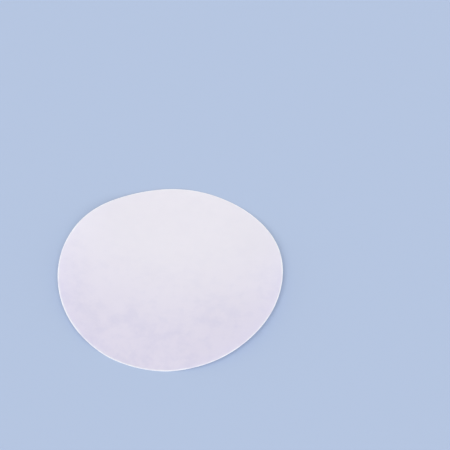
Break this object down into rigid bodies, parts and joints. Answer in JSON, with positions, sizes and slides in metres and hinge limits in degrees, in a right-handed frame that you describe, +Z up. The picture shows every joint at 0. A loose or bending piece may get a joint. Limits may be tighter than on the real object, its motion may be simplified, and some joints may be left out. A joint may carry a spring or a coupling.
{
  "type": "filter paper disc",
  "caption": "Round white laboratory filter paper, one thin disc lying loose with a gentle bow: its middle rests flat and its two sides curl slightly up.",
  "frame": {"origin": "under the centre of the disc, on the surface that its middle strip rests on", "axes": "+X across the bow, from one raised side to the other, +Y along the straight strip that rests flat, +Z up"},
  "size_m": [0.109, 0.11, 0.006],
  "materials": {
    "filter_paper": "matt"
  },
  "bodies": {
    "root": {"paper_disc": "filter_paper"}
  },
  "joints": []
}
